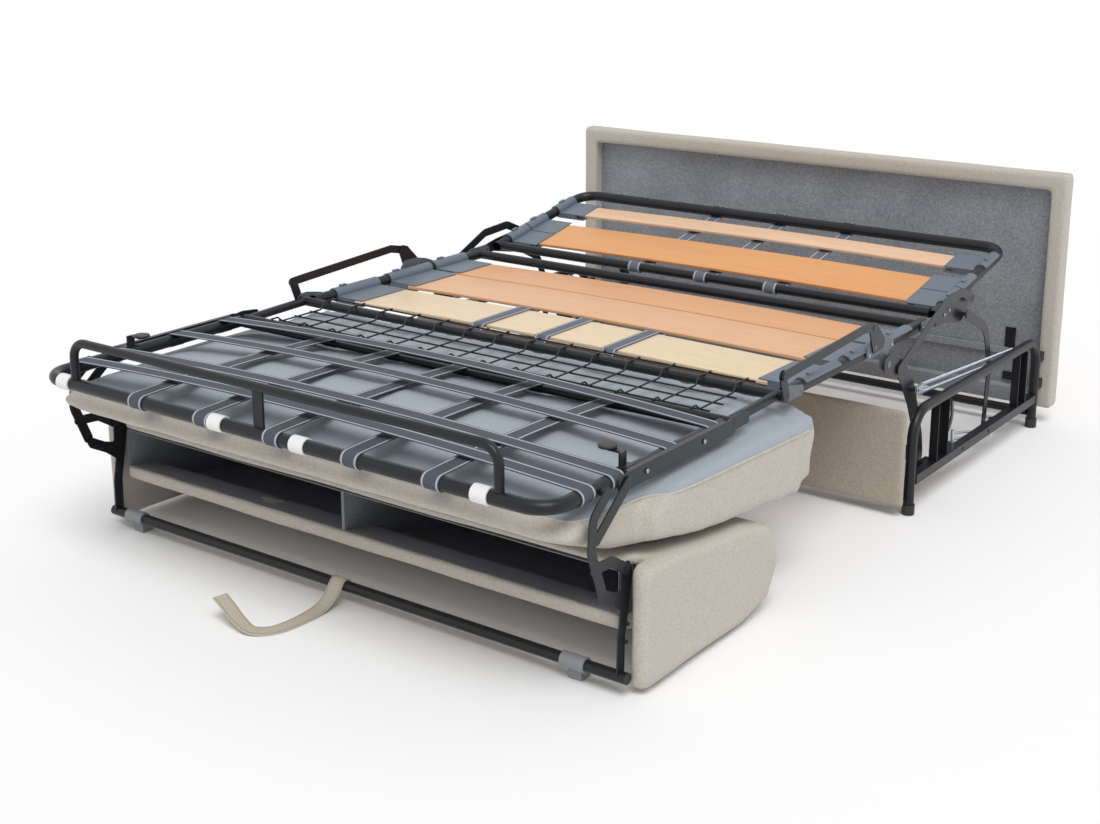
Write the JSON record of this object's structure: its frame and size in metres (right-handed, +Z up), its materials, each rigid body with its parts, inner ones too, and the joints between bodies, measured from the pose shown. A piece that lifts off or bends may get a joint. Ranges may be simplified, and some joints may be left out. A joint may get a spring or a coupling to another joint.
{
  "type": "sleeper sofa with pull-out bed",
  "caption": "Sleeper sofa with its fold-over bed pulled out: slatted steel frame, wire and webbing foot section, sickle arms and springs, upholstered seat, backrest and panels.",
  "frame": {"origin": "on the floor, midway across the bed and midway between its foot end and the back panel", "axes": "+X across the bed to the right as seen from the foot end facing the panel, +Y from the foot of the bed to the back panel, +Z up"},
  "size_m": [1.647, 2.3837, 0.729],
  "materials": {
    "frame_paint": "satin",
    "link_steel": "satin",
    "grey_plate": "satin",
    "zinc": "satin",
    "spring_steel": "satin",
    "slat_orange": "satin",
    "slat_pale": "satin",
    "slat_peach": "satin",
    "clip_plastic": "matte",
    "black_plastic": "matte",
    "grey_plastic": "matte",
    "white_plastic": "matte",
    "webbing": "matte",
    "strap_cloth": "matte",
    "cream_fabric": "matte",
    "brown_fabric": "matte",
    "felt": "matte",
    "lining_cloth": "matte",
    "board": "matte"
  },
  "bodies": {
    "base": {"side_hoops": "frame_paint", "side_rails": "frame_paint", "side_posts": "frame_paint", "leg_glides": "black_plastic", "cross_rails": "frame_paint", "front_panel_board": "board", "front_panel_cover": "brown_fabric", "base_pivots": "frame_paint", "park_latches": "link_steel", "latch_tie_rods": "zinc", "back_panel_border": "cream_fabric", "back_panel_felt": "felt", "back_panel_board": "board", "back_panel_battens": "board", "panel_brackets": "frame_paint"},
    "arms": {"fold_arm_right": "link_steel", "fold_arm_left": "link_steel", "arm_pins": "link_steel", "spring_yokes_front": "spring_steel"},
    "mid": {"mid_frame": "frame_paint", "slat_mid_front": "slat_pale", "slat_mid_centre": "slat_peach", "slat_mid_rear": "slat_orange", "slat_clips_mid": "clip_plastic", "mid_plates": "grey_plate", "slat_straps_mid": "strap_cloth"},
    "head": {"head_frame": "frame_paint", "slat_head_front": "slat_orange", "slat_head_rear": "slat_peach", "slat_clips_head": "clip_plastic", "head_plates": "link_steel", "slat_straps_head": "strap_cloth"},
    "mesh": {"mesh_frame": "frame_paint", "wire_grid": "frame_paint", "mesh_plates": "link_steel"},
    "foot": {"foot_frame": "frame_paint", "foot_channels": "link_steel", "mattress_retainer": "frame_paint", "strap_sleeves": "white_plastic", "corner_hooks": "frame_paint", "hook_pads": "black_plastic", "webbing_lengthways": "webbing", "webbing_across": "webbing", "end_brackets": "link_steel", "seat_cushion": "cream_fabric"},
    "backrest": {"backrest_shell": "cream_fabric", "backrest_lining": "lining_cloth", "backrest_divider": "lining_cloth", "backrest_legs": "link_steel", "foot_bar": "frame_paint", "foot_bar_caps": "black_plastic", "bar_feet": "grey_plastic", "pull_strap": "strap_cloth"},
    "rear_links": {"rear_links": "link_steel"},
    "head_links": {"head_links": "link_steel"},
    "control_links": {"control_links": "link_steel"},
    "cranks": {"crank_plates": "link_steel"},
    "springs": {"balance_springs": "spring_steel", "spring_yokes_rear": "spring_steel"}
  },
  "joints": [
    {"name": "fold", "type": "hinge", "parent": "base", "child": "arms", "pos_m": [0, 0.3956, 0.075], "axis": [-1, 0, 0], "range_deg": [0, 113.71]},
    {"name": "mid_level", "type": "hinge", "parent": "arms", "child": "mid", "pos_m": [0, 0.188, 0.396], "axis": [-1, 0, 0], "range_deg": [-113.71, 0]},
    {"name": "head_fold", "type": "hinge", "parent": "mid", "child": "head", "pos_m": [0, 0.483, 0.435], "axis": [1, 0, 0], "range_deg": [0, 80.7]},
    {"name": "mesh_fold", "type": "hinge", "parent": "mid", "child": "mesh", "pos_m": [0, -0.312, 0.44], "axis": [-1, 0, 0], "range_deg": [0, 115.72]},
    {"name": "foot_fold", "type": "hinge", "parent": "mesh", "child": "foot", "pos_m": [0, -0.5345, 0.44], "axis": [-1, 0, 0], "range_deg": [0, 64.28]},
    {"name": "backrest_fold", "type": "hinge", "parent": "foot", "child": "backrest", "pos_m": [0, -0.937, 0.26], "axis": [-1, 0, 0], "range_deg": [0, 90]},
    {"name": "rear_link_swing", "type": "hinge", "parent": "base", "child": "rear_links", "pos_m": [0, 0.8127, 0.08], "axis": [-1, 0, 0], "range_deg": [0, 75.38]},
    {"name": "head_link_swing", "type": "hinge", "parent": "head", "child": "head_links", "pos_m": [0, 0.683, 0.46], "axis": [-1, 0, 0], "range_deg": [0, 53.42]},
    {"name": "control_link_swing", "type": "hinge", "parent": "mesh", "child": "control_links", "pos_m": [0, -0.332, 0.492], "axis": [1, 0, 0], "range_deg": [0, 115.72]},
    {"name": "crank_swing", "type": "hinge", "parent": "mid", "child": "cranks", "pos_m": [0, 0.128, 0.45], "axis": [-1, 0, 0], "range_deg": [0, 115.72]},
    {"name": "spring_swing", "type": "hinge", "parent": "base", "child": "springs", "pos_m": [0, 0.983, 0.245], "axis": [1, 0, 0], "range_deg": [0, 33.61], "deforming": ["balance_springs"]}
  ],
  "couplings": [
    {"joint": "mid_level", "follows": "fold", "ratio": -1},
    {"joint": "head_fold", "follows": "fold", "ratio": 0.7097},
    {"joint": "mesh_fold", "follows": "fold", "ratio": 1.0177},
    {"joint": "foot_fold", "follows": "fold", "ratio": 0.5653},
    {"joint": "backrest_fold", "follows": "fold", "ratio": 0.79149},
    {"joint": "rear_link_swing", "follows": "fold", "ratio": 0.66293},
    {"joint": "head_link_swing", "follows": "fold", "ratio": 0.4698},
    {"joint": "control_link_swing", "follows": "fold", "ratio": 1.0177},
    {"joint": "crank_swing", "follows": "fold", "ratio": 1.0177},
    {"joint": "spring_swing", "follows": "fold", "ratio": 0.29558}
  ]
}
